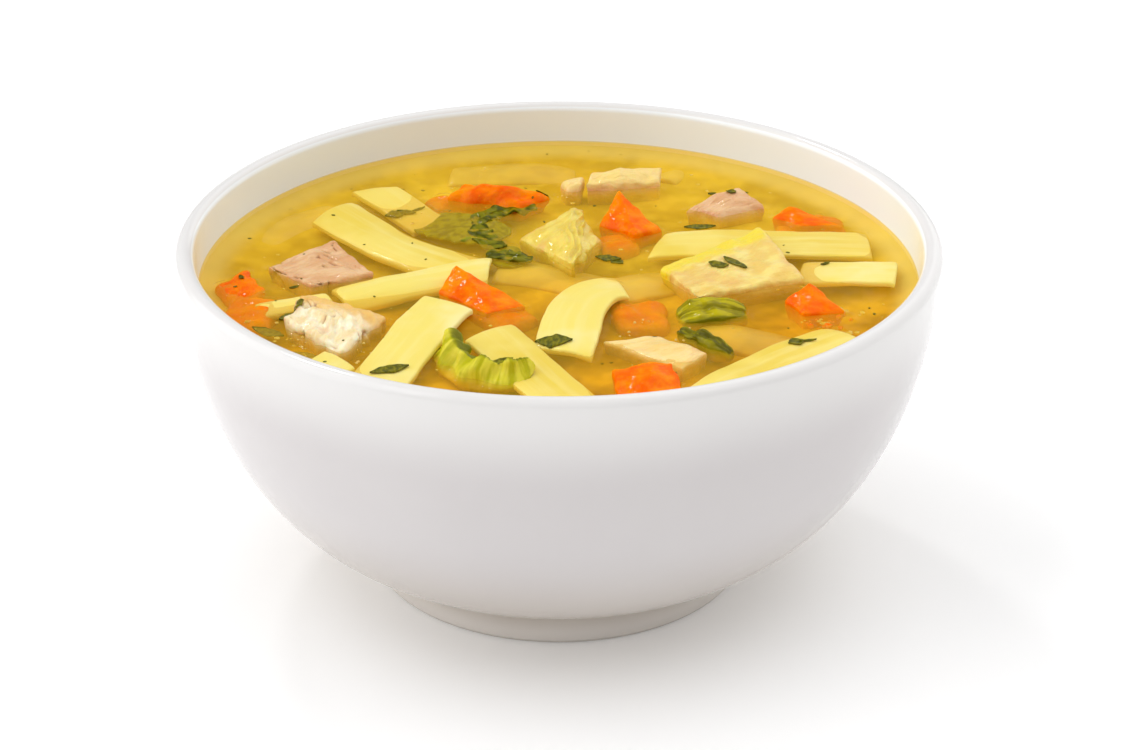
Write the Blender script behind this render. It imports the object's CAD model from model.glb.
"""Looks of the bowl of chicken noodle soup: every CAD solid is replaced by a fine mesh with its own finish.

Sizes and places below are in millimetres, in the CAD's frame: +Z is up and the front of the bowl is -Y.
Meshes are made in metres. Heights of the pieces are counted from the broth's level.
"""

import math
import random

import bmesh
import bpy
from mathutils import Matrix, Vector, noise
from mathutils.bvhtree import BVHTree


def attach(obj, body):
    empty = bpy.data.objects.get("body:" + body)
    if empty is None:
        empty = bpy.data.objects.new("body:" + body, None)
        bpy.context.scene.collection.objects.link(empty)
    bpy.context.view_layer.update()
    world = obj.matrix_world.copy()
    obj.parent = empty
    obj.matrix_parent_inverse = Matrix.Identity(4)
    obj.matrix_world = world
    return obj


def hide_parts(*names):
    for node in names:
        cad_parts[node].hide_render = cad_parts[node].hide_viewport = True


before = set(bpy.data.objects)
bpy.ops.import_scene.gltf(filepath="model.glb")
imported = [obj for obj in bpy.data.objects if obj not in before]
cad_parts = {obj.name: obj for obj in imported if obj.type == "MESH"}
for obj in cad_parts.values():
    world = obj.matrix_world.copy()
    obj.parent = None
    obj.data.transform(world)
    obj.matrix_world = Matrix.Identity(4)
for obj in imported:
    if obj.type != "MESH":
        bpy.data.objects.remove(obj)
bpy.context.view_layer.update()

MM = 0.001
BODY = "root"

# The bowl: two superellipses of revolution, joined by a rounded lip and standing on a foot ring.
BOWL_R, BOWL_H = 80.0, 76.0
OUTER_DEPTH, INNER_DEPTH = 71.9, 66.5
DEPTH_POWER, RADIUS_POWER = 1.9, 3.52
LIP_W, LIP_RISE, LIP_JOIN = 4.0, 1.8, 1.5  # the walls end LIP_JOIN below the lip
FOOT_R, FOOT_H, FOOT_FACE_W, FOOT_EDGE_R = 40.6, 6.4, 3.4, 1.0
FOOT_COVE_X, FOOT_COVE_W, FOOT_COVE_H = 3.4, 3.0, 2.2  # the hollow curve from the foot into the wall
FOOT_JOIN_Z, RECESS_Z, RECESS_EDGE_W, RECESS_EDGE_H = 9.6, 4.6, 2.0, 1.6
WALL_STEPS, LIP_STEPS, COVE_STEPS, EDGE_STEPS, INNER_EDGE_STEPS = 60, 20, 8, 6, 4
TOLERANCE = 0.01  # two heights or radii this near count as the same
AXIS_STEP = 0.01  # a wall's last point is this far above its lowest, so that it stays off the axis
BOWL_STEPS = 192

# The broth: a clear glossy surface over a cloudy core that starts this far below it.
LEVEL = 66.1
CORE_DEPTH, CORE_EDGE_DEPTH = 2.7, 0.1
CORE_SQUARENESS = 12  # how sharply the core's top turns up at the wall
CORE_RINGS, CORE_WALL_STEPS, CORE_STEPS = 60, 40, 120
CORE_HEM = 0.02  # the last ring of the core's top is this far inside its edge, which keeps the edge crisp
WALL_RING = (69.0, 74.0)  # the radii between which the broth turns pale towards the wall
FADE, MOST_FADED = 0.8, 0.97  # how deep a piece is when it is two thirds faded, and how far it can fade
SURFACE_CELLS = 310
MENISCUS_RISE, MENISCUS_W = 1.1, 1.3
CLING_RISE, CLING_W = 0.6, 0.9
CLING_DEPTH = 0.3  # the broth climbs up a piece that comes at least this near to its level
REACH_INTO_WALL = 0.15

NOODLE_T, NOODLE_EDGE_R, NOODLE_CELL = 1.3, 0.45, 0.7
CELERY_EDGE_R, CELERY_CELL = 0.8, 0.3
LEAF_T = 0.14
# Depth, cells along each edge, roughness of the surface, and how much of its top's size the bottom keeps.
CHICKEN_BLOCK = (10.0, (44, 44, 12), 0.6, 0.85)
CARROT_BLOCK = (9.0, (34, 34, 12), 0.4, 0.7)

# Strips: x, y and heading in degrees of the start and of the end, width, heights over the broth at the
# start, middle and end, how far the left side is banked up, and how far each end is cut aslant, in degrees.
NOODLES = {
    "noodle_01": ((-50.3, 32.8, -53), (-15.8, 2.2, -12), 13.2, (0.9, 0.4, -0.6), 0, (-17, 0)),
    "noodle_02": ((-45.2, -12.4, 26), (-14.6, 0.6, 18), 10.6, (-0.2, 0.7, 1.1), 4, (0, 22)),
    "noodle_03": ((-22.6, -17.6, -112), (-36.0, -55.5, -106), 12.2, (1.5, 0.8, -0.2), 3, (13, 0)),
    "noodle_04": ((-14.1, -30.8, -60), (3.4, -63.0, -58), 12.0, (1.2, 0.5, 0.0), 0, (-11, 0)),
    "noodle_05": ((13.4, -7.2, -168), (0.8, -39.0, -101), 12.4, (0.1, 0.9, 0.1), 5, (0, 12)),
    "noodle_06": ((21.0, 14.6, 1), (67.2, 15.1, 0), 13.6, (0.5, 0.6, 0.1), 0, (18, 0)),
    "noodle_07": ((51.0, 1.6, -11), (71.0, -2.2, -10), 11.0, (-0.4, 0.3, 1.2), 0, (0, 0)),
    "noodle_08": ((28.6, -60.6, 52), (58.6, -32.4, 30), 12.2, (0.6, 0.7, 0.6), 0, (0, -14)),
    "noodle_09": ((-42.0, 47.0, -54), (-27.8, 27.4, -54), 10.2, (0.3, -0.3, -0.9), 0, (20, 0)),
    "noodle_10": ((-43.0, -42.6, -122), (-49.6, -51.8, -126), 9.6, (0.7, 0.5, -0.2), 0, (16, 0)),
    "noodle_11": ((-61.8, -18.2, 20), (-47.0, -12.8, 24), 6.0, (-0.3, 0.1, 0.0), 4, (0, 0)),
}
PALE_NOODLES = ("noodle_02", "noodle_03", "noodle_05", "noodle_07", "noodle_10", "noodle_11")
# How much each noodle's middle stands above its edges, and how far its right edge curls up.
NOODLE_BOW = {
    "noodle_01": (0.9, 0.0), "noodle_02": (0.9, -0.4), "noodle_03": (0.3, 0.4), "noodle_04": (0.4, 0.0),
    "noodle_05": (0.5, 0.5), "noodle_06": (0.3, 0.0), "noodle_07": (0.2, 0.0), "noodle_08": (0.5, 0.0),
    "noodle_09": (0.2, 0.0), "noodle_10": (0.4, 0.0), "noodle_11": (0.3, 0.0),
}
SUNKEN_BOW = (0.9, 0.0)
SUNKEN_NOODLES = (
    ((-25.0, 62.6, 1), (4.0, 63.2, -3), 12.6, (-2.3, -2.2, -2.8), 0, (8, 0)),
    ((-12.6, 6.2, -20), (12.0, -3.0, -28), 12.0, (-1.7, -1.9, -2.8), 0, (0, 0)),
    ((27.0, 2.0, -160), (9.0, -7.0, -152), 12.4, (-2.6, -1.5, -1.4), 0, (0, 0)),
    ((29.0, -24.0, -26), (48.0, -33.0, -22), 11.4, (-1.6, -1.8, -2.6), 0, (0, 0)),
    ((-66.0, 22.0, 62), (-50.0, 42.0, 44), 11.0, (-2.8, -2.4, -2.8), 0, (0, 0)),
    ((24.0, 57.0, 60), (33.0, 66.0, 20), 7.0, (-1.6, -2.2, -3.0), 0, (0, 0)),
)

# Chunks: front, right, back and left corner of the top, each x, y and height over the broth, and the crown.
CHICKEN = {
    "chicken_01": ((-51.4, -8.0, 1.3), (-38.6, -2.4, 1.5), (-48.4, 14.4, 2.0), (-62.0, 2.4, 0.8), 0.3),
    "chicken_02": ((-43.0, -40.6, 0.9), (-34.6, -23.8, 1.7), (-52.4, -15.2, 2.2), (-55.2, -27.6, 2.0), 0.5),
    "chicken_03": ((2.6, 0.4, 1.3), (9.4, 17.0, 0.9), (3.8, 29.6, 2.4), (-8.8, 18.4, 0.8), 1.0),
    "chicken_04": ((28.6, -14.6, 1.6), (51.2, -5.4, 1.8), (43.6, 19.2, 3.1), (21.4, -1.8, 2.3), 0.2),
    "chicken_05": ((35.6, 29.8, 0.3), (46.4, 35.0, 1.0), (40.4, 43.4, 2.9), (27.2, 34.6, 1.0), 0.8),
    "chicken_06": ((24.2, -46.4, 0.5), (29.4, -39.6, 0.8), (20.6, -32.0, 0.9), (8.4, -33.8, 0.6), 0.2),
    "chicken_07": ((5.6, 44.8, 2.5), (23.2, 47.4, 2.0), (23.6, 53.4, 3.6), (7.2, 50.2, 3.6), 0.2),
    "chicken_08": ((1.8, 44.6, 0.9), (4.8, 45.2, 1.6), (6.0, 50.8, 2.3), (0.4, 49.0, 1.3), 0.2),
}
# Chicken: its finish, how far its edges round, the grain's heading in degrees, the height of lumps,
# the height and pitch of the strands, and the depth of splits.
CHICKEN_LOOKS = {
    "chicken_01": ("pink", 0.7, 100, 0.5, 0.08, 2.0, 1.2),
    "chicken_02": ("white", 1.0, 65, 0.8, 1.30, 2.8, 0.70),
    "chicken_03": ("yellow", 0.9, 45, 0.5, 0.90, 2.4, 0.0),
    "chicken_04": ("lemon", 0.9, 20, 0.9, 0.10, 2.4, 0.0),
    "chicken_05": ("pink", 1.3, 10, 0.8, 0.10, 2.2, 0.15),
    "chicken_06": ("cream", 0.7, -15, 0.5, 0.08, 2.2, 0.0),
    "chicken_07": ("rimmed", 0.9, 90, 0.6, 0.15, 3.0, 0.0),
    "chicken_08": ("rimmed", 1.0, 60, 0.5, 0.15, 1.8, 0.0),
}
CHICKEN_CREST = {"chicken_03": 1.6, "chicken_02": 0.5, "chicken_05": 0.8}
HIGH_CREST, CREST_W = 1.0, 7.0  # a crest over this height carries strands only this far to its right
CARROTS = {
    "carrot_01": ((-66.0, -17.8, -0.2), (-60.6, -8.0, 0.9), (-65.8, 1.2, 1.0), (-72.2, -6.0, 0.2), 0.3),
    "carrot_02": ((-8.0, 34.8, 0.5), (-1.0, 41.4, 1.0), (-22.4, 45.4, 2.6), (-25.2, 39.6, 0.8), 2.2),
    "carrot_03": ((17.0, 17.8, 0.9), (22.6, 22.6, 0.8), (13.2, 34.8, 4.7), (8.8, 25.0, 0.8), 0.0),
    "carrot_04": ((-14.6, -21.4, 0.4), (-6.4, -17.0, 0.5), (-21.6, -3.0, 3.6), (-25.0, -10.8, 1.2), 0.3),
    "carrot_05": ((53.5, 24.8, 0.4), (63.2, 25.6, 0.3), (51.0, 33.4, 1.9), (46.8, 29.8, 0.6), 0.2),
    "carrot_06": ((49.8, -22.4, 0.5), (58.6, -20.6, 1.1), (51.6, -12.0, 3.1), (46.5, -15.2, 1.1), 0.3),
    "carrot_07": ((11.4, -61.4, 0.8), (24.4, -58.0, 1.0), (22.4, -46.8, 2.4), (10.0, -48.6, 2.0), 0.8),
}
# Carrots: how far the crest between front and back stands up, the height of lumps, and how far edges round.
CARROT_LOOKS = {
    "carrot_01": (0.3, 1.2, 1.6), "carrot_02": (0.0, 1.2, 1.4), "carrot_03": (1.4, 0.6, 0.7),
    "carrot_04": (0.6, 0.4, 0.6), "carrot_05": (0.4, 0.4, 0.8), "carrot_06": (1.0, 0.5, 0.6),
    "carrot_07": (0.4, 0.8, 0.9),
}
SUNKEN_CARROT_LOOK = (0.0, 1.0, 2.2)
SUNKEN_CARROTS = (
    ((11.4, -25.4, -0.6), (23.0, -25.0, -0.9), (22.4, -10.4, -1.1), (9.8, -11.6, -0.8), 0.6),
    ((-27.0, 38.0, -0.9), (-22.0, 40.0, -0.7), (-24.0, 47.0, -0.9), (-32.0, 44.0, -1.2), 0.6),
    ((9.0, 12.6, -0.6), (18.0, 15.4, -0.5), (17.0, 24.0, -0.3), (8.0, 23.0, -0.6), 0.4),
    ((-12.0, -27.0, -0.8), (-3.0, -19.0, -0.6), (-10.0, -11.0, -0.3), (-19.0, -17.0, -0.6), 0.5),
    ((-69.0, -24.0, -0.3), (-58.0, -26.0, -0.4), (-57.0, -12.0, 0.0), (-68.0, -10.0, 0.1), 0.5),
    ((47.0, 24.0, -1.2), (66.0, 22.0, -1.4), (62.0, 36.0, -1.0), (48.0, 36.0, -1.2), 0.6),
)

# Celery: ribbed slices, laid out like the noodles, each with its thickness last.
CELERY = {
    "celery_01": ((-21.6, -36.6, -104), (-5.6, -48.2, 52), 7.0, (1.6, -0.2, 2.1), 50, (0, 0), 4.2),
    "celery_02": ((24.4, -22.6, 16), (38.6, -19.8, 4), 7.6, (-0.2, 0.6, -0.4), 12, (0, 0), 3.4),
    "celery_03": ((24.0, -29.2, -36), (34.4, -39.4, -50), 4.0, (-0.2, 0.1, -0.6), 0, (0, 0), 3.2),
}
CELERY_REACH = 1.3  # how far a slice's curve swings out, where a noodle's is 1
# Celery: its finish, the height of the ribs and of the lobes, and the depth of the crease.
CELERY_LOOKS = {
    "celery_01": ("light", 0.10, 1.7, 0.0),
    "celery_02": ("olive", 0.0, 0.5, 0.5),
    "celery_03": ("green", 0.0, 1.0, 0.5),
}
# Celery leaf, half sunk: strips as above, with the thickness and the waves' height last.
CELERY_BLADES = (
    ((-31.0, 31.0, -30), (-12.0, 19.0, -35), 15.0, (-0.8, 0.0, 0.1), 0, (0, 0), 0.5, 0.4),
    ((-13.0, 15.0, -70), (-9.0, 5.0, -60), 8.0, (-0.2, -0.2, -0.5), 0, (0, 0), 0.5, 0.4),
)
CELERY_EDGES = (
    ((-5.0, 37.0, -160), (-17.5, 25.0, -80), 5.4, (0.1, 0.5, 0.4), 0, (0, 0), 0.6, 0.9),
    ((-17.5, 25.5, -90), (-12.0, 13.0, -50), 5.4, (0.5, 0.4, 0.4), 0, (0, 0), 0.6, 0.9),
    ((-14.5, 12.0, -70), (-5.5, 7.4, -5), 5.0, (0.4, 0.5, 0.3), 0, (0, 0), 0.6, 0.9),
)
LEAF_PARTS = (("celery_leaf", CELERY_BLADES, "leaf"), ("celery_leaf_edges", CELERY_EDGES, "edge"))
# Parsley: x, y, heading in degrees, length, width, how round the outline is, and how deep it has sunk.
PARSLEY = (
    (-36.2, 32.4, 25, 5.0, 3.2, 2.0, 0.0),
    (-33.8, 33.6, -10, 4.4, 2.2, 1.4, 0.0),
    (-31.2, 35.4, 42, 3.6, 0.8, 2.0, 0.0),
    (10.6, 8.2, -12, 5.6, 3.0, 1.6, 0.0),
    (12.4, 6.6, -50, 4.0, 2.6, 1.6, 0.0),
    (-1.0, -35.2, -8, 7.6, 5.4, 1.2, 0.0),
    (-33.0, -48.0, 14, 7.8, 3.4, 1.8, 0.0),
    (33.6, -1.0, 160, 4.4, 2.4, 2.4, 0.0),
    (37.2, 0.4, -40, 6.2, 2.2, 3.0, 0.0),
    (47.2, -36.2, -60, 3.4, 3.4, 1.6, 0.0),
    (49.6, -35.6, 14, 3.6, 0.8, 2.0, 0.0),
    (-54.4, -21.4, 36, 6.0, 3.0, 2.0, 0.0),
    (31.0, 25.4, 5, 7.0, 2.6, 2.0, 0.0),
    (-11.0, -44.6, 20, 4.4, 2.0, 2.0, 0.0),
    (-58.6, -28.4, -32, 8.0, 3.2, 2.0, 0.3),
    (-50.0, -38.6, -30, 7.0, 3.0, 2.0, 0.9),
    (-66.4, -4.4, -60, 1.9, 1.0, 3.0, 0.0),
    (-55.2, -7.0, 30, 2.2, 1.0, 2.0, 0.0),
    (56.6, 4.4, 30, 2.4, 1.0, 2.0, 0.0),
    (38.6, 39.0, 80, 2.0, 2.2, 2.5, 0.0),
    (34.6, 44.6, 10, 1.8, 1.0, 2.5, 0.0),
    (-3.6, 41.2, 0, 3.0, 1.2, 2.0, 0.0),
)
LEAF_CURL, LEAF_LIFT = 0.35, 0.12
FLECKS, FLECKS_REACH = 55, 73.0
FLECK_CURL, FLECK_LIFT = 0.1, 0.06
# Oil that floats in drops, and crumbs: how many, the middle and reach of the area, and the smallest
# and largest radius.
OIL_DROPS = (
    (120, (0.0, 0.0), 72.0, 0.2, 0.6),
    (30, (-57.0, -28.0), 9.0, 0.2, 0.7),
    (24, (56.0, -22.0), 8.0, 0.3, 0.9),
)
CARROT_CRUMBS = (
    (22, (55.0, -23.5), 5.0, 0.3, 0.9),
    (8, (-20.0, -24.0), 5.0, 0.2, 0.5),
)
CHICKEN_CRUMBS = (
    (16, (-46.0, -38.0), 9.0, 0.15, 0.45),
    (12, (20.0, -30.0), 8.0, 0.15, 0.35),
    (8, (0.0, 44.0), 5.0, 0.15, 0.35),
)

# The camera stands in front and looks down on the bowl.
CAMERA_ELEVATION, CAMERA_DISTANCE, CAMERA_TARGET_Z = 26.03, 579.0, 42.5
LENS, SENSOR, SHIFT_X = 86.24, 36.0, 0.0034

# Soft lights: the direction that each comes from, how wide it is in degrees, and its strength.
LIGHTS = {
    "left": ((-0.86, 0.02, 0.50), 80.0, 1.9),
    "right": ((0.66, 0.45, 0.55), 85.0, 1.3),
    "front": ((0.0, -0.50, 0.86), 80.0, 0.60),
    "sparkle": ((-0.28, 0.62, 0.73), 6.0, 0.28),
}
WORLD_STRENGTH = 0.425
FLOOR_SIZE = 6000.0

LAYER = "local"  # each vertex's place in its own piece, in millimetres
CRACK = "crack"  # how deep in a split each vertex of a chicken piece is, from 0 to 1


# Meshes


def new_piece(name, bm, material, nodes=()):
    """The object of a bmesh in millimetres: it rides on the body and stands for these CAD nodes."""
    bmesh.ops.scale(bm, vec=(MM, MM, MM), verts=bm.verts)
    mesh = bpy.data.meshes.new(name)
    bm.to_mesh(mesh)
    bm.free()
    mesh.shade_smooth()
    mesh.materials.append(material)
    obj = bpy.data.objects.new(name, mesh)
    bpy.context.scene.collection.objects.link(obj)
    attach(obj, BODY)
    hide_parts(*nodes)
    return obj


def stops(length, radius, cells):
    """Places along one side of a rounded box: close together where it rounds, even in between."""
    half = length / 2
    corner = [0.0, radius * 0.42, radius]
    low = [-half + step for step in corner]
    flat = length - 2 * radius
    middle = [-half + radius + flat * i / cells for i in range(1, cells)]
    return low + middle + [-value for value in low[::-1]]


def rounded_box(size, radius, cells):
    """A closed box of quads about the origin, with every edge rounded."""
    bm = bmesh.new()
    layer = bm.verts.layers.float_vector.new(LAYER)
    places = [stops(size[axis], radius, cells[axis]) for axis in range(3)]
    counts = [len(row) - 1 for row in places]
    inner = [side / 2 - radius for side in size]
    made = {}

    def vert(index):
        if index not in made:
            place = Vector([places[axis][i] for axis, i in enumerate(index)])
            core = Vector([max(-inner[axis], min(inner[axis], place[axis])) for axis in range(3)])
            made[index] = bm.verts.new(core + (place - core).normalized() * radius)
            made[index][layer] = made[index].co
        return made[index]

    for axis in range(3):
        first, second = (axis + 1) % 3, (axis + 2) % 3
        for end in (0, counts[axis]):
            for i in range(counts[first]):
                for j in range(counts[second]):
                    index = [0, 0, 0]
                    corners = []
                    for step_i, step_j in ((0, 0), (1, 0), (1, 1), (0, 1)):
                        index[axis], index[first], index[second] = end, i + step_i, j + step_j
                        corners.append(vert(tuple(index)))
                    bm.faces.new(corners if end else corners[::-1])
    return bm


def push(bm, height):
    """Moves each vertex along its normal by height(its place in the piece), in millimetres."""
    bm.normal_update()
    layer = bm.verts.layers.float_vector[LAYER]
    for vert, far in [(vert, vert.normal * height(vert[layer])) for vert in bm.verts]:
        vert.co += far


def join(parts):
    """One bmesh that holds these ones."""
    whole = bmesh.new()
    whole.verts.layers.float_vector.new(LAYER)
    for bm in parts:
        mesh = bpy.data.meshes.new("part")
        bm.to_mesh(mesh)
        bm.free()
        whole.from_mesh(mesh)
        bpy.data.meshes.remove(mesh)
    return whole


# The bowl


def superellipse(radius, depth, angle):
    """A wall's (radius, height) at an angle: 0 is the rim and 90 degrees the middle of the floor."""
    across = radius * math.cos(angle) ** (2 / RADIUS_POWER)
    return across, BOWL_H - depth * math.sin(angle) ** (2 / DEPTH_POWER)


def wall_angle(depth, height):
    return math.asin(((BOWL_H - height) / depth) ** (DEPTH_POWER / 2))


def wall_points(radius, depth, top, bottom, steps):
    """Points down a wall, from the height top to the height bottom."""
    first, last = wall_angle(depth, top), wall_angle(depth, bottom)
    return [superellipse(radius, depth, first + (last - first) * i / steps) for i in range(steps + 1)]


def inner_radius(height):
    return superellipse(BOWL_R - LIP_W, INNER_DEPTH, wall_angle(INNER_DEPTH, height))[0]


def arc_points(centre, half_w, half_h, start, end, steps):
    """Points of an ellipse's arc, with angles in degrees from +X."""
    angles = [math.radians(start + (end - start) * i / steps) for i in range(steps + 1)]
    return [(centre[0] + half_w * math.cos(a), centre[1] + half_h * math.sin(a)) for a in angles]


def bowl_profile():
    """Up the inside from the middle, over the lip, down the outside and in under the foot."""
    lip_z = BOWL_H - LIP_RISE
    wall_top, floor_z = lip_z - LIP_JOIN, BOWL_H - INNER_DEPTH
    inside = wall_points(BOWL_R - LIP_W, INNER_DEPTH, wall_top, floor_z + AXIS_STEP, WALL_STEPS)
    inside[-1] = (0.0, floor_z)
    lip = arc_points((BOWL_R - LIP_W / 2, lip_z), LIP_W / 2, LIP_RISE, 180, 0, LIP_STEPS)
    outside = wall_points(BOWL_R, OUTER_DEPTH, wall_top, FOOT_JOIN_Z, WALL_STEPS)
    foot = arc_points((FOOT_R + FOOT_COVE_X, FOOT_H), FOOT_COVE_W, FOOT_COVE_H, 110, 180, COVE_STEPS)
    edge_x = FOOT_R - FOOT_EDGE_R
    foot += arc_points((edge_x, FOOT_EDGE_R), FOOT_EDGE_R, FOOT_EDGE_R, 0, -90, EDGE_STEPS)
    inner_r = edge_x - FOOT_FACE_W
    underside = arc_points((inner_r, FOOT_EDGE_R), FOOT_EDGE_R, FOOT_EDGE_R, 270, 180, INNER_EDGE_STEPS)
    recess_r = inner_r - FOOT_EDGE_R - RECESS_EDGE_W
    recess_centre = (recess_r, RECESS_Z - RECESS_EDGE_H)
    underside += arc_points(recess_centre, RECESS_EDGE_W, RECESS_EDGE_H, 0, 90, EDGE_STEPS)
    underside += [(inner_r * share, RECESS_Z) for share in (0.75, 0.5, 0.25, 0.0)]
    return inside[::-1] + lip + outside + foot + underside


def turned(profile, steps):
    """A closed profile of (radius, height), from the axis round to the axis, turned about Z."""
    bm = bmesh.new()
    rings = []
    for radius, height in profile:
        if radius < 1e-6:
            rings.append([bm.verts.new((0.0, 0.0, height))] * steps)
            continue
        angles = [2 * math.pi * i / steps for i in range(steps)]
        rings.append([bm.verts.new((radius * math.cos(a), radius * math.sin(a), height)) for a in angles])
    for lower, upper in zip(rings, rings[1:]):
        for i in range(steps):
            corners = [lower[i], upper[i], upper[i - 1], lower[i - 1]]
            bm.faces.new(list(dict.fromkeys(corners)))
    bmesh.ops.recalc_face_normals(bm, faces=bm.faces)
    return bm


def bowl_mesh():
    """The bowl, whose own layer says in x which part of the wall is the inside."""
    bm = turned(bowl_profile(), BOWL_STEPS)
    layer = bm.verts.layers.float_vector.new(LAYER)
    for vert in bm.verts:
        radius, height = math.hypot(vert.co.x, vert.co.y), vert.co.z
        inside = height > BOWL_H - INNER_DEPTH - 0.1 and radius < inner_radius(min(height, BOWL_H)) + 0.5
        vert[layer] = (float(inside), 0.0, 0.0)
    return bm


# Pieces in the soup


def between(start, middle, end, share):
    """The parabola that has these values at shares 0, 1/2 and 1 of the way."""
    bend = 2 * (start + end) - 4 * middle
    return start + (end - start - bend) * share + bend * share**2


def strip_place(start, end, reach, share):
    """Position and heading on the smooth curve that leaves the start and meets the end at their headings."""
    first, last = Vector(start[:2]), Vector(end[:2])
    pull = (last - first).length * reach
    leave, meet = (Vector((math.cos(a), math.sin(a))) * pull for a in map(math.radians, (start[2], end[2])))
    s, q, c = share, share**2, share**3
    place = first * (2 * c - 3 * q + 1) + leave * (c - 2 * q + s) + last * (3 * q - 2 * c) + meet * (c - q)
    way = (last - first) * (6 * s - 6 * q) + leave * (3 * q - 4 * s + 1) + meet * (3 * q - 2 * s)
    return place, math.atan2(way.y, way.x)


def lay_strip(bm, shape, length, reach=1.0):
    """Bends a straight rounded box along a strip's curve."""
    start, end, _, heights, bank, slants = shape
    for vert in bm.verts:
        side, up = vert.co.y, vert.co.z
        share = vert.co.x / length + 0.5
        slant = math.radians(slants[0] + (slants[1] - slants[0]) * share)
        share += side * math.tan(slant) / length
        place, heading = strip_place(start, end, reach, share)
        tilt = Matrix.Rotation(math.radians(bank), 3, Vector((math.cos(heading), math.sin(heading), 0.0)))
        left = tilt @ Vector((-math.sin(heading), math.cos(heading), 0.0))
        face = tilt @ Vector((0.0, 0.0, 1.0))
        centre = Vector((place.x, place.y, LEVEL + between(*heights, share)))
        vert.co = centre + left * side + face * up


def strip_length(shape):
    return (Vector(shape[1][:2]) - Vector(shape[0][:2])).length


def seed_of(shape):
    """An offset into the noise that differs from piece to piece."""
    return Vector((shape[0][0], shape[0][1], 0.0))


def noodle_mesh(shape, bow, curl):
    """A flat noodle: it bows across its width, one edge may curl, and it waves softly along."""
    length, width = strip_length(shape), shape[2]
    seed = seed_of(shape)
    cells = (round(length / NOODLE_CELL), round(width / NOODLE_CELL), 1)
    bm = rounded_box((length, width, NOODLE_T), NOODLE_EDGE_R, cells)
    for vert in bm.verts:
        side = 2 * vert.co.y / width
        vert.co.z += bow * (0.35 - side**2) + curl * max(0.0, -side) ** 2
        end = 2 * abs(vert.co.x) / length
        vert.co.y += 0.30 * noise.noise(Vector((vert.co.x * 0.12, 4.0 * round(side), 0.0)) + seed)
        vert.co.z -= 0.25 * max(0.0, end - 0.9) * 10 * (0.5 + side**2)
    lay_strip(bm, shape, length)
    for vert in bm.verts:
        plan = Vector((vert.co.x, vert.co.y, 0.0))
        vert.co.z += 0.5 * noise.noise(plan * 0.07 + seed) - 0.1
        vert.co += noise.noise_vector(plan * 0.25 + seed) * 0.10
    return bm


def block(shape, radius, crest, depth, cells, rough, taper):
    """An uneven block hung under the four corners of its top, with rounded edges."""
    front, right, back, left = (Vector(corner) for corner in shape[:4])
    crown = shape[4]
    middle = (front + right + back + left) / 4
    seed = Vector((middle.x, middle.y, 0.0))
    across = ((right - front).length + (back - left).length) / 2
    along = ((left - front).length + (back - right).length) / 2
    size = (across, along, depth)
    bm = rounded_box(size, radius, cells)
    for vert in bm.verts:
        u, v, up = (vert.co[axis] / size[axis] + 0.5 for axis in range(3))
        top = front.lerp(right, u).lerp(left.lerp(back, u), v)
        top.z += crown * (1 - (2 * u - 1) ** 2) * (1 - (2 * v - 1) ** 2) + crest * (0.7 - abs(u - v))
        foot = middle.lerp(top, taper)
        foot.z = -depth
        vert.co = foot.lerp(top, up) + Vector((0.0, 0.0, LEVEL))
        vert.co += noise.noise_vector(vert.co * 0.35 + seed) * rough * (1.0 - 0.5 * up)
    return bm


def groove(value, width):
    """1 where value is 0, and falling off on both sides."""
    return math.exp(-((value / width) ** 2))


def chicken_mesh(shape, look, crest):
    """A torn dice of chicken: strands of muscle run along the grain, with splits between some of them."""
    rounding, grain, lumps, strands, pitch, splits = look
    radius = min(rounding, 0.3 * strip_length(shape))
    bm = block(shape, radius, crest, *CHICKEN_BLOCK)
    crack = bm.verts.layers.float.new(CRACK)
    turn = Matrix.Rotation(math.radians(-grain), 3, "Z")
    seed = seed_of(shape)

    def split_at(at):
        run = turn @ at
        line = noise.noise(Vector((run.x * 0.15, run.y * 0.42, run.z * 0.2)) - seed)
        there = max(0.0, min(1.0, 5 * noise.noise(Vector((run.x * 0.22, run.y * 0.22, 0.0)) + seed)))
        return groove(line, 0.045) * there

    def relief(at):
        run = turn @ at
        bend = 1.4 * noise.noise(run * 0.10 + seed) + 0.3 * noise.noise(run * 0.4 + seed)
        ridge = 1 - abs(math.sin(math.pi * (run.y / pitch + bend)))
        patchy = 0.45 + 0.9 * noise.noise(run * 0.14 - seed)
        if crest > HIGH_CREST:
            patchy = 1.0 if 0.0 < at.x - at.y < CREST_W else 0.0
        height = lumps * noise.noise(at * 0.16 + seed) + strands * ridge * max(0.1, patchy)
        height += 0.10 * noise.noise(Vector((run.x * 0.3, run.y * 1.5, run.z)) + seed)
        return height - splits * split_at(at)

    layer = bm.verts.layers.float_vector[LAYER]
    for vert in bm.verts:
        vert[crack] = splits * split_at(vert[layer])
    push(bm, relief)
    return bm


def carrot_mesh(shape, crest, lumps, rounding):
    """A cooked piece of carrot: cut faces with soft edges and small pits."""
    bm = block(shape, rounding, crest, *CARROT_BLOCK)
    seed = seed_of(shape)

    def relief(at):
        return lumps * noise.noise(at * 0.22 + seed) + 0.12 * noise.noise(at * 0.8 + seed)

    push(bm, relief)
    return bm


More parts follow.
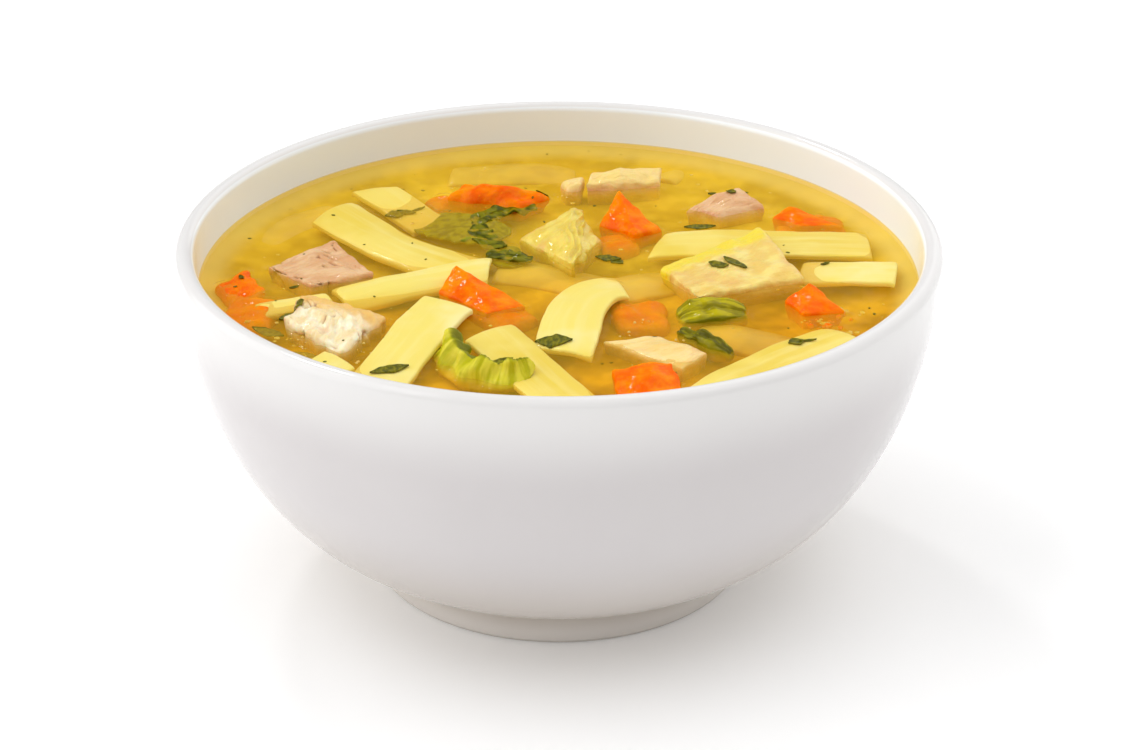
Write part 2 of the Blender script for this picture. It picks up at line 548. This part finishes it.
def celery_mesh(shape, thickness, look):
    """A slice of celery: fine ribs across it, lobes along it, a crease down its middle and blunt tips."""
    ribs, lobes, crease = look
    length, width = strip_length(shape), shape[2]
    path = length * (1.0 + 0.5 * (CELERY_REACH - 1.0))
    cells = (round(path / CELERY_CELL), round(width / CELERY_CELL), 6)
    bm = rounded_box((length, width, thickness), CELERY_EDGE_R, cells)
    seed = seed_of(shape)
    for vert in bm.verts:
        end = 2 * vert.co.x / length
        vert.co.y *= math.sqrt(max(0.0, 1.0 - (0.8 * end**2 if end > 0 else 0.6 * end**6)))
        vert.co.z *= math.sqrt(max(0.0, 1.0 - 0.5 * end**6))
    lay_strip(bm, shape, length, CELERY_REACH)

    def relief(at):
        rib = ribs * math.cos(at.x * 9.0 + 2.0 * noise.noise(at * 0.4 + seed))
        lobe = lobes * noise.noise(Vector((at.x * 0.42, at.y * 0.22, at.z * 0.3)) + seed)
        line = 0.5 * noise.noise(Vector((at.x * 0.3, 0.0, 0.0)) + seed)
        return rib + lobe + 0.10 * noise.noise(at * 1.3 + seed) - crease * groove(at.y - line, 0.45)

    push(bm, relief)
    return bm


def leaf_mesh(length, width, roundness, curl):
    """A small flat leaf about the origin, pointing along +X: a diamond at roundness 1, an oval from 2."""
    bm = bmesh.new()
    layer = bm.verts.layers.float_vector.new(LAYER)
    bmesh.ops.create_grid(bm, x_segments=16, y_segments=4, size=0.5)
    for vert in bm.verts:
        share, side = 2 * vert.co.x, 2 * vert.co.y
        swell = max(0.06, 1 - abs(share) ** roundness)
        ragged = 1.0 + 0.35 * noise.noise(Vector((share * 2.5, side, length + width)))
        place = Vector((length * share / 2, side * width / 2 * swell * ragged, 0.0))
        place.z = curl * (side**2 * 0.5 + share**2 * 0.5)
        vert[layer] = place
        vert.co = place
    bmesh.ops.solidify(bm, geom=bm.faces[:], thickness=LEAF_T)
    bmesh.ops.recalc_face_normals(bm, faces=bm.faces)
    return bm


def ruffle_mesh(shape, thickness, wave):
    """A crinkled leaf edge: a thin strip that waves hard along both sides."""
    length, width = strip_length(shape), shape[2]
    cells = (round(length / CELERY_CELL), round(width / CELERY_CELL), 1)
    bm = rounded_box((length, width, thickness), 0.2, cells)
    seed = seed_of(shape)
    for vert in bm.verts:
        end = abs(2 * vert.co.x / length)
        vert.co.y *= math.sqrt(max(0.0, 1.0 - 0.9 * end**3))
        side = 2 * vert.co.y / width
        fold = noise.noise(Vector((vert.co.x * 0.45, side * 1.2, 0.0)) + seed)
        vert.co.z += wave * fold * (0.4 + abs(side))
        vert.co.y += 0.8 * noise.noise(Vector((vert.co.x * 0.4, 9.0, side)) + seed)
    lay_strip(bm, shape, length, 1.2)
    return bm


def blob_mesh(place, radius, squash, seed):
    """A small uneven round body."""
    bm = bmesh.new()
    layer = bm.verts.layers.float_vector.new(LAYER)
    bmesh.ops.create_icosphere(bm, subdivisions=2, radius=radius)
    for vert in bm.verts:
        vert[layer] = vert.co
        vert.co += noise.noise_vector(vert.co / radius + seed) * radius * 0.35
        vert.co.z *= squash
        vert.co += place
    return bm


def scattered(areas, squash, seed):
    """Small bodies at the broth's level, thrown at random over some areas."""
    draw = random.Random(seed)
    parts = []
    for count, middle, reach, smallest, largest in areas:
        for _ in range(count):
            angle, far = draw.uniform(0, 2 * math.pi), reach * math.sqrt(draw.random())
            place = Vector((middle[0] + far * math.cos(angle), middle[1] + far * math.sin(angle), LEVEL))
            radius = smallest + (largest - smallest) * draw.random() ** 2
            parts.append(blob_mesh(place, radius, squash, Vector((place.x, place.y, 0.0))))
    return join(parts)


# The broth


def to_disc(across, along):
    """A point of the square from -1 to 1, moved into the round of radius 1."""
    return across * math.sqrt(1 - along**2 / 2), along * math.sqrt(1 - across**2 / 2)


def denser_outside(value):
    return 0.6 * value + 0.4 * math.sin(math.pi / 2 * value)


def cling(tree, place):
    """How far the broth climbs up the nearest piece that stands out of it."""
    near, _, _, distance = tree.find_nearest(place)
    if near is None or near.z < (LEVEL - CLING_DEPTH) * MM:
        return 0.0
    return CLING_RISE * math.exp(-distance / MM / CLING_W)


def surface_height(tree, x, y, reach):
    """How far the broth's top stands over its level: at its ripples, at the wall and at the pieces."""
    rise = MENISCUS_RISE * math.exp(-(reach - math.hypot(x, y)) / MENISCUS_W)
    plan = Vector((x, y, 0.0))
    ripple = 0.10 * noise.noise(plan * 0.07) + 0.04 * noise.noise(plan * 0.2)
    return rise + ripple + cling(tree, Vector((x, y, LEVEL)) * MM)


def surface_mesh(tree):
    """The broth's top: a square grid made round, which reaches just into the wall."""
    bm = bmesh.new()
    layer = bm.verts.layers.float_vector.new(LAYER)
    reach = inner_radius(LEVEL)
    rows = []
    for i in range(SURFACE_CELLS + 1):
        row = []
        for j in range(SURFACE_CELLS + 1):
            across, along = (denser_outside(2 * step / SURFACE_CELLS - 1) for step in (i, j))
            x, y = (value * reach for value in to_disc(across, along))
            height = surface_height(tree, x, y, reach)
            spread = 1.0
            if math.hypot(x, y) > reach - TOLERANCE:
                spread = (inner_radius(LEVEL + height) + REACH_INTO_WALL) / reach
            vert = bm.verts.new((x * spread, y * spread, LEVEL + height))
            vert[layer] = (x, y, height)
            row.append(vert)
        rows.append(row)
    for low, high in zip(rows, rows[1:]):
        for j in range(SURFACE_CELLS):
            bm.faces.new((low[j], high[j], high[j + 1], low[j + 1]))
    return bm


def core_mesh():
    """The cloudy broth below: it fills the bowl up to an uneven top, which rises towards the wall."""
    edge_z = LEVEL - CORE_EDGE_DEPTH
    floor_z = BOWL_H - INNER_DEPTH
    side = wall_points(BOWL_R - LIP_W, INNER_DEPTH, edge_z, floor_z + AXIS_STEP, CORE_WALL_STEPS)
    side[-1] = (0.0, floor_z)
    edge = side[0][0]
    top = [(edge * i / CORE_RINGS, edge_z) for i in range(CORE_RINGS)] + [(edge - CORE_HEM, edge_z)]
    bm = turned(top + side, CORE_STEPS)
    layer = bm.verts.layers.float_vector.new(LAYER)
    for vert in bm.verts:
        if vert.co.z > edge_z - TOLERANCE:
            sag = 1 - (math.hypot(vert.co.x, vert.co.y) / edge) ** CORE_SQUARENESS
            waves = noise.noise(Vector((vert.co.x, vert.co.y, 0.0)) * 0.06)
            vert.co.z -= sag * (CORE_DEPTH - CORE_EDGE_DEPTH + waves)
        vert[layer] = vert.co
    return bm


# Materials


def plug(tree, socket, value):
    """Sets a socket to a value, or feeds it from another socket."""
    if isinstance(value, bpy.types.NodeSocket):
        tree.links.new(value, socket)
    else:
        socket.default_value = value


def add(tree, kind, inputs=None, **settings):
    """A shader node, with each input either a value or the socket that feeds it."""
    made = tree.nodes.new("ShaderNode" + kind)
    for name, value in settings.items():
        setattr(made, name, value)
    for name, value in (inputs or {}).items():
        plug(tree, made.inputs[name], value)
    return made


def rgb(red, green, blue):
    return (red, green, blue, 1.0)


def mix(tree, share, first, second):
    made = add(tree, "Mix", data_type="RGBA")
    plug(tree, made.inputs[0], share)
    plug(tree, made.inputs[6], first)
    plug(tree, made.inputs[7], second)
    return made.outputs[2]


def maths(tree, operation, *values):
    made = add(tree, "Math", operation=operation)
    for index, value in enumerate(values):
        plug(tree, made.inputs[index], value)
    return made.outputs[0]


def span(tree, value, low, high, out_low=0.0, out_high=1.0):
    """value, spread from the range low to high onto out_low to out_high, and smoothed."""
    inputs = {"Value": value, "From Min": low, "From Max": high, "To Min": out_low, "To Max": out_high}
    return add(tree, "MapRange", inputs, interpolation_type="SMOOTHSTEP").outputs["Result"]


def cloud(tree, vector, scale, detail=3.0, stretch=(1.0, 1.0, 1.0)):
    """Noise about 0.5, with the scale in 1/mm where vector is in millimetres."""
    mapped = add(tree, "Mapping", {"Vector": vector, "Scale": stretch}).outputs["Vector"]
    return add(tree, "TexNoise", {"Vector": mapped, "Scale": scale, "Detail": detail}).outputs["Fac"]


def local(tree):
    return add(tree, "Attribute", attribute_name=LAYER).outputs["Vector"]


def in_mm(tree):
    """Object coordinates in millimetres, which are the CAD's."""
    place = add(tree, "TexCoord").outputs["Object"]
    return add(tree, "VectorMath", {0: place, "Scale": 1 / MM}, operation="SCALE").outputs["Vector"]


def height_of(tree):
    return add(tree, "SeparateXYZ", {"Vector": in_mm(tree)}).outputs["Z"]


def broth_colour(tree):
    """The broth: golden to olive behind, orange to brown in front, and pale along the wall."""
    place = in_mm(tree)
    axes = add(tree, "SeparateXYZ", {"Vector": place})
    flat = add(tree, "CombineXYZ", {"X": axes.outputs["X"], "Y": axes.outputs["Y"]}).outputs[0]
    radius = add(tree, "VectorMath", {0: flat}, operation="LENGTH").outputs["Value"]
    murk = span(tree, cloud(tree, flat, 0.05, 4.0), 0.42, 0.60)
    wisps = span(tree, cloud(tree, flat, 0.16, 5.0), 0.40, 0.62, 0.0, 0.45)
    murk = maths(tree, "MULTIPLY_ADD", murk, 0.55, wisps)
    behind = mix(tree, murk, BROTH_OLIVE, BROTH_GOLD)
    before = mix(tree, murk, BROTH_BROWN, BROTH_ORANGE)
    base = mix(tree, span(tree, axes.outputs["Y"], 20.0, -25.0), behind, before)
    return mix(tree, span(tree, radius, WALL_RING[0], WALL_RING[1], 0.0, 0.7), base, BROTH_PALE)


def sunk(tree, colour, fade=FADE):
    """The colour, turning into the broth's as the surface goes deeper under its level."""
    over = maths(tree, "SUBTRACT", height_of(tree), LEVEL)
    left = maths(tree, "EXPONENT", maths(tree, "MULTIPLY", maths(tree, "MINIMUM", over, 0.0), 1 / fade))
    share = maths(tree, "MULTIPLY", maths(tree, "SUBTRACT", 1.0, left), MOST_FADED)
    return mix(tree, share, colour, broth_colour(tree))


def new_material(name, colour, **sockets):
    """A Principled material: each socket is a value, or a function that makes the nodes behind it."""
    material = bpy.data.materials.new(name)
    material.use_nodes = True
    tree = material.node_tree
    shader = tree.nodes["Principled BSDF"]
    plug(tree, shader.inputs["Base Color"], colour(tree))
    for socket, value in sockets.items():
        plug(tree, shader.inputs[socket.replace("_", " ")], value(tree) if callable(value) else value)
    return material


def bumps(place, scale, detail, depth, stretch=(1.0, 1.0, 1.0)):
    """What makes the nodes of an uneven surface: noise over place(tree), of this depth."""

    def normal(tree):
        height = cloud(tree, place(tree), scale, detail, stretch)
        return add(tree, "Bump", {"Height": height, "Distance": depth * MM}).outputs["Normal"]

    return normal


BROTH_GOLD, BROTH_OLIVE = rgb(0.88, 0.60, 0.035), rgb(0.56, 0.34, 0.010)
BROTH_ORANGE, BROTH_BROWN = rgb(0.90, 0.43, 0.010), rgb(0.42, 0.16, 0.003)
BROTH_PALE = rgb(0.96, 0.80, 0.22)
WARM_WHITE = rgb(0.86, 0.84, 0.82)
YELLOW_FAT, PALE_FAT = rgb(0.88, 0.68, 0.03), rgb(0.90, 0.68, 0.20)
GOLDEN_MEAT, DARK_SPLIT = rgb(0.84, 0.52, 0.14), rgb(0.42, 0.17, 0.05)
CELERY_SKIN = rgb(0.13, 0.14, 0.001)
# Flesh, strands of fat and pinker patches, and any strip along one side: see chicken().
CHICKEN_FINISHES = {
    "pink": (rgb(0.71, 0.38, 0.17), rgb(0.80, 0.51, 0.26), rgb(0.62, 0.29, 0.11)),
    "white": (
        rgb(0.90, 0.70, 0.36), rgb(0.96, 0.89, 0.64), rgb(0.82, 0.50, 0.24),
        ("X", 0.5, 5.0, 7.0, GOLDEN_MEAT),
    ),
    "yellow": (rgb(0.76, 0.55, 0.05), rgb(0.86, 0.68, 0.11), rgb(0.78, 0.46, 0.11)),
    "cream": (rgb(0.88, 0.62, 0.20), rgb(0.92, 0.70, 0.28), rgb(0.84, 0.52, 0.20)),
    "lemon": (
        rgb(0.82, 0.56, 0.12), rgb(0.89, 0.71, 0.20), rgb(0.80, 0.46, 0.12),
        ("Y", 3.6, 6.6, 6.0, YELLOW_FAT),
    ),
    "rimmed": (
        rgb(0.86, 0.58, 0.24), rgb(0.90, 0.66, 0.32), rgb(0.85, 0.52, 0.26),
        ("Z", 3.6, 5.4, 2.0, PALE_FAT),
    ),
}
# Dark and light flesh, how its grain is stretched, any outline, and how slowly it fades: see celery().
CELERY_FINISHES = {
    "light": (rgb(0.46, 0.43, 0.004), rgb(0.70, 0.62, 0.045), (1.0, 0.12, 0.5), (2.9, 3.5)),
    "olive": (rgb(0.24, 0.20, 0.001), rgb(0.48, 0.40, 0.006), (0.18, 0.8, 1.0), (2.9, 3.8)),
    "green": (rgb(0.10, 0.09, 0.001), rgb(0.26, 0.23, 0.004), (0.18, 0.8, 1.0)),
    "leaf": (rgb(0.12, 0.13, 0.001), rgb(0.26, 0.25, 0.003), (0.5, 0.5, 0.5), None, 2.6),
    "edge": (rgb(0.06, 0.065, 0.001), rgb(0.18, 0.17, 0.003), (0.5, 0.5, 0.5), None, 2.6),
}


def porcelain():
    """White glaze that darkens towards the foot's bare edge, with a wet ring along the inside."""

    def bare(tree):
        return span(tree, height_of(tree), 1.2, 0.4)

    def colour(tree):
        height = height_of(tree)
        foot = mix(tree, span(tree, height, 2.0, 8.0), rgb(0.68, 0.63, 0.58), rgb(0.47, 0.41, 0.35))
        outer = mix(tree, span(tree, height, 8.0, 42.0), foot, rgb(0.61, 0.58, 0.58))
        outer = mix(tree, span(tree, height, 56.0, 74.0), outer, rgb(0.77, 0.755, 0.745))
        outer = mix(tree, span(tree, cloud(tree, in_mm(tree), 0.02), 0.3, 0.7, 0.0, 0.08), outer, WARM_WHITE)
        base = mix(tree, bare(tree), outer, rgb(0.56, 0.52, 0.47))
        inside = add(tree, "SeparateXYZ", {"Vector": local(tree)}).outputs["X"]
        wall = mix(tree, span(tree, height, LEVEL + 1.0, 74.0), rgb(0.87, 0.93, 1.0), rgb(0.91, 0.96, 1.0))
        ring = mix(tree, span(tree, height, LEVEL + 1.2, LEVEL + 0.7), wall, rgb(1.0, 0.86, 0.36))
        return mix(tree, inside, base, sunk(tree, ring, 3.0))

    def roughness(tree):
        glaze = span(tree, cloud(tree, in_mm(tree), 0.05), 0.3, 0.7, 0.09, 0.16)
        return maths(tree, "ADD", glaze, bare(tree))

    return new_material("porcelain", colour, Roughness=roughness, Normal=bumps(in_mm, 0.12, 2.0, 0.05))


def broth_film():
    def colour(tree):
        murk = span(tree, cloud(tree, local(tree), 0.03), 0.35, 0.65)
        return mix(tree, murk, rgb(0.86, 0.56, 0.03), rgb(0.82, 0.46, 0.015))

    return new_material(
        "broth_film", colour, Alpha=0.28, Roughness=0.04, IOR=1.33, Specular_IOR_Level=0.15,
        Normal=bumps(local, 0.25, 3.0, 0.15), Coat_Weight=0.04, Coat_Roughness=0.03,
    )


def broth_core():
    return new_material("broth_core", broth_colour, Roughness=0.6, Specular_IOR_Level=0.0)


def noodle(name, light, dark):
    """Egg noodle: streaked along, in light and dark patches, and yellower where it is wet."""

    def colour(tree):
        streaks = cloud(tree, local(tree), 0.5, 3.0, (0.08, 1.0, 1.0))
        patches = cloud(tree, in_mm(tree), 0.05)
        base = mix(tree, span(tree, patches, 0.38, 0.57), light, dark)
        base = mix(tree, span(tree, streaks, 0.45, 0.75, 0.0, 0.35), base, rgb(0.90, 0.79, 0.32))
        low = span(tree, height_of(tree), LEVEL + 1.3, LEVEL - 0.2, 0.0, 0.8)
        return sunk(tree, mix(tree, low, base, rgb(0.86, 0.64, 0.09)), 1.3)

    return new_material(
        name, colour, Roughness=0.38, Normal=bumps(local, 0.6, 3.0, 0.12, (0.10, 1.0, 1.0)),
        Subsurface_Weight=0.3, Subsurface_Radius=(1.0, 0.8, 0.3), Subsurface_Scale=1.2 * MM,
        Specular_IOR_Level=0.15, Coat_Weight=0.14, Coat_Roughness=0.10,
    )


def chicken(name, flesh, fat, pink, rim=None):
    """Cooked meat: flesh with fat-coloured strands and pinker patches, dark in its splits.

    rim is a strip of another colour along one side: the axis of the piece that it lies across, the places
    where it starts and is full, how far it strays, and its colour.
    """

    def colour(tree):
        place = local(tree)
        strands = cloud(tree, place, 0.35, 4.0, (0.5, 1.0, 1.0))
        patches = cloud(tree, in_mm(tree), 0.10, 3.0)
        base = mix(tree, span(tree, strands, 0.40, 0.62), flesh, fat)
        base = mix(tree, span(tree, patches, 0.5, 0.7), base, pink)
        if rim:
            axis, start, full, stray, tint = rim
            along = add(tree, "SeparateXYZ", {"Vector": place}).outputs[axis]
            uneven = maths(tree, "MULTIPLY_ADD", cloud(tree, place, 0.3), stray, along)
            base = mix(tree, span(tree, uneven, start + stray / 2, full + stray / 2), base, tint)
        crack = add(tree, "Attribute", attribute_name=CRACK).outputs["Fac"]
        return sunk(tree, mix(tree, span(tree, crack, 0.1, 0.7, 0.0, 0.8), base, DARK_SPLIT))

    return new_material(
        name, colour, Roughness=0.36, Normal=bumps(local, 1.0, 5.0, 0.5, (0.5, 1.0, 1.0)),
        Subsurface_Weight=0.3, Subsurface_Radius=(1.0, 0.5, 0.2), Subsurface_Scale=1.5 * MM,
        Specular_IOR_Level=0.2, Coat_Weight=0.35, Coat_Roughness=0.08,
    )


def carrot():
    def colour(tree):
        place = local(tree)
        patches = cloud(tree, place, 0.22, 4.0)
        base = mix(tree, span(tree, patches, 0.35, 0.7), rgb(0.89, 0.12, 0.0), rgb(0.96, 0.26, 0.0))
        specks = span(tree, cloud(tree, place, 1.6, 2.0), 0.62, 0.75, 0.0, 0.4)
        return sunk(tree, mix(tree, specks, base, rgb(0.98, 0.42, 0.004)), 3.2)

    return new_material(
        "carrot", colour, Roughness=0.26, Normal=bumps(local, 0.7, 4.0, 0.4),
        Subsurface_Weight=0.25, Subsurface_Radius=(1.0, 0.3, 0.03), Subsurface_Scale=1.5 * MM,
        Specular_IOR_Level=0.0, Coat_Weight=0.17, Coat_Roughness=0.06,
    )


def celery(name, dark, light, stretch, outline=None, fade=FADE):
    """Celery flesh. outline is how far from the slice's middle line its dark skin starts and is full."""

    def colour(tree):
        place = local(tree)
        ribs = cloud(tree, place, 0.9, 3.0, stretch)
        base = mix(tree, span(tree, ribs, 0.38, 0.6), dark, light)
        if outline:
            across = add(tree, "SeparateXYZ", {"Vector": place}).outputs["Y"]
            aside = maths(tree, "ABSOLUTE", across)
            base = mix(tree, span(tree, aside, outline[0], outline[1], 0.0, 0.85), base, CELERY_SKIN)
        return sunk(tree, base, fade)

    return new_material(
        name, colour, Roughness=0.22, Normal=bumps(local, 0.9, 3.0, 0.35, stretch),
        Subsurface_Weight=0.2, Subsurface_Radius=(0.8, 1.0, 0.1), Subsurface_Scale=1.2 * MM,
        Specular_IOR_Level=0.0, Coat_Weight=0.25, Coat_Roughness=0.06,
    )


def parsley():
    def colour(tree):
        veins = cloud(tree, local(tree), 1.5, 3.0, (1.0, 0.4, 1.0))
        base = mix(tree, span(tree, veins, 0.35, 0.7), rgb(0.07, 0.075, 0.001), rgb(0.22, 0.19, 0.003))
        return sunk(tree, base, 2.5)

    return new_material("parsley", colour, Roughness=0.35, Specular_IOR_Level=0.1)


def oil():
    def colour(tree):
        return mix(tree, cloud(tree, in_mm(tree), 0.1), rgb(0.88, 0.60, 0.03), rgb(0.92, 0.68, 0.08))

    return new_material("oil", colour, Alpha=0.5, Roughness=0.05, Specular_IOR_Level=0.5)


def floor_finish():
    def colour(tree):
        return mix(tree, cloud(tree, in_mm(tree), 0.004), rgb(0.97, 0.97, 0.97), rgb(0.985, 0.985, 0.985))

    return new_material(
        "floor", colour, Roughness=0.9, Specular_IOR_Level=0.0,
        Emission_Color=rgb(1.0, 1.0, 1.0), Emission_Strength=0.07,
    )


# Assembly


def build_chicken():
    finishes = {name: chicken("chicken_" + name, *colours) for name, colours in CHICKEN_FINISHES.items()}
    made = []
    for name, shape in CHICKEN.items():
        finish, *look = CHICKEN_LOOKS[name]
        bm = chicken_mesh(shape, look, CHICKEN_CREST.get(name, 0.0))
        made.append(new_piece("diced_" + name, bm, finishes[finish], [name]))
    return made, finishes["cream"]


def build_celery():
    finishes = {name: celery("celery_" + name, *colours) for name, colours in CELERY_FINISHES.items()}
    made = []
    for name, (*shape, thickness) in CELERY.items():
        finish, *look = CELERY_LOOKS[name]
        bm = celery_mesh(shape, thickness, look)
        made.append(new_piece("sliced_" + name, bm, finishes[finish], [name]))
    for name, strips, finish in LEAF_PARTS:
        bm = join([ruffle_mesh(shape, thickness, wave) for *shape, thickness, wave in strips])
        made.append(new_piece(name, bm, finishes[finish]))
    return made


def build_noodles():
    pale = noodle("noodle_pale", rgb(0.89, 0.78, 0.32), rgb(0.85, 0.70, 0.15))
    deep = noodle("noodle_deep", rgb(0.83, 0.66, 0.13), rgb(0.78, 0.58, 0.065))
    made = []
    for name, shape in NOODLES.items():
        bm = noodle_mesh(shape, *NOODLE_BOW[name])
        finish = pale if name in PALE_NOODLES else deep
        made.append(new_piece("egg_" + name, bm, finish, [name]))
    sunken = join([noodle_mesh(shape, *SUNKEN_BOW) for shape in SUNKEN_NOODLES])
    made.append(new_piece("sunken_noodles", sunken, deep))
    return made


def build_solids():
    """Every noodle, chicken, carrot and celery piece, above the surface and just under it."""
    carrot_finish = carrot()
    made, meat = build_chicken()
    made += build_celery() + build_noodles()
    for name, shape in CARROTS.items():
        bm = carrot_mesh(shape, *CARROT_LOOKS[name])
        made.append(new_piece("cooked_" + name, bm, carrot_finish, [name]))
    carrots = join([carrot_mesh(shape, *SUNKEN_CARROT_LOOK) for shape in SUNKEN_CARROTS])
    made.append(new_piece("sunken_carrots", carrots, carrot_finish))
    crumbs = scattered(CARROT_CRUMBS, squash=0.8, seed=1)
    made.append(new_piece("carrot_crumbs", crumbs, carrot_finish))
    crumbs = scattered(CHICKEN_CRUMBS, squash=0.6, seed=2)
    made.append(new_piece("chicken_crumbs", crumbs, meat))
    return made


def all_in_one_tree(objects):
    """A search tree over these objects' surfaces, in metres."""
    points, faces = [], []
    for obj in objects:
        first = len(points)
        points += [vert.co.copy() for vert in obj.data.vertices]
        faces += [[first + i for i in polygon.vertices] for polygon in obj.data.polygons]
    return BVHTree.FromPolygons(points, faces)


def rest_height(tree, x, y):
    """The height of the broth or of the piece that stands out of it here, in millimetres."""
    hit = tree.ray_cast(Vector((x, y, BOWL_H)) * MM, Vector((0.0, 0.0, -1.0)))[0]
    return max(LEVEL, hit.z / MM) if hit else LEVEL


def build_broth(tree):
    new_piece("broth_surface", surface_mesh(tree), broth_film(), ["broth"])
    new_piece("broth_core", core_mesh(), broth_core(), ["broth"])
    new_piece("oil_drops", scattered(OIL_DROPS, squash=0.25, seed=3), oil())


def drape(bm, tree, x, y, heading, lift):
    """Lays a leaf down at this place, so that it follows what is under it."""
    turn = Matrix.Rotation(math.radians(heading), 3, "Z")
    for vert in bm.verts:
        vert.co = turn @ vert.co + Vector((x, y, 0.0))
        vert.co.z += rest_height(tree, vert.co.x, vert.co.y) + lift
    return bm


def build_herbs(tree):
    """Parsley leaves that lie on the pieces and float, and fine flecks of it all over."""
    parts = []
    for x, y, heading, length, width, roundness, depth in PARSLEY:
        leaf = leaf_mesh(length, width, roundness, LEAF_CURL)
        parts.append(drape(leaf, tree, x, y, heading, LEAF_LIFT - depth))
    draw = random.Random(5)
    for _ in range(FLECKS):
        angle, radius = draw.uniform(0, 2 * math.pi), FLECKS_REACH * math.sqrt(draw.random())
        x, y = radius * math.cos(angle), radius * math.sin(angle)
        length = draw.uniform(0.35, 0.9)
        leaf = leaf_mesh(length, length * draw.uniform(0.4, 0.8), 2.0, FLECK_CURL)
        heading = draw.uniform(0, 180)
        depth = draw.choice((0.0, 0.0, 0.5))
        parts.append(drape(leaf, tree, x, y, heading, FLECK_LIFT - depth))
    new_piece("parsley", join(parts), parsley())


def build_floor():
    bpy.ops.mesh.primitive_plane_add(size=FLOOR_SIZE * MM)
    floor = bpy.context.object
    floor.name = "floor"
    floor.data.materials.append(floor_finish())


def soft_sun(name, towards, spread, strength):
    """Even soft white light that comes from this direction."""
    data = bpy.data.lights.new(name, "SUN")
    data.angle = math.radians(spread)
    data.energy = strength
    lamp = bpy.data.objects.new(name, data)
    lamp.rotation_euler = Vector(towards).to_track_quat("Z", "Y").to_euler()
    bpy.context.scene.collection.objects.link(lamp)


def build_light():
    world = bpy.data.worlds.new("studio")
    world.use_nodes = True
    background = world.node_tree.nodes["Background"]
    background.inputs["Color"].default_value = rgb(1.0, 1.0, 1.0)
    background.inputs["Strength"].default_value = WORLD_STRENGTH
    bpy.context.scene.world = world
    for name, light in LIGHTS.items():
        soft_sun(name, *light)


def build_camera():
    data = bpy.data.cameras.new("camera")
    data.lens = LENS
    data.sensor_width = SENSOR
    data.shift_x = SHIFT_X
    camera = bpy.data.objects.new("camera", data)
    rise = math.radians(CAMERA_ELEVATION)
    back = Vector((0.0, -math.cos(rise), math.sin(rise)))
    camera.location = (Vector((0.0, 0.0, CAMERA_TARGET_Z)) + back * CAMERA_DISTANCE) * MM
    camera.rotation_euler = back.to_track_quat("Z", "Y").to_euler()
    bpy.context.scene.collection.objects.link(camera)
    bpy.context.scene.camera = camera


def main():
    build_camera()
    build_light()
    build_floor()
    new_piece("bowl_glazed", bowl_mesh(), porcelain(), ["bowl"])
    tree = all_in_one_tree(build_solids())
    build_broth(tree)
    build_herbs(tree)
    bpy.context.scene.view_settings.view_transform = "Standard"


main()
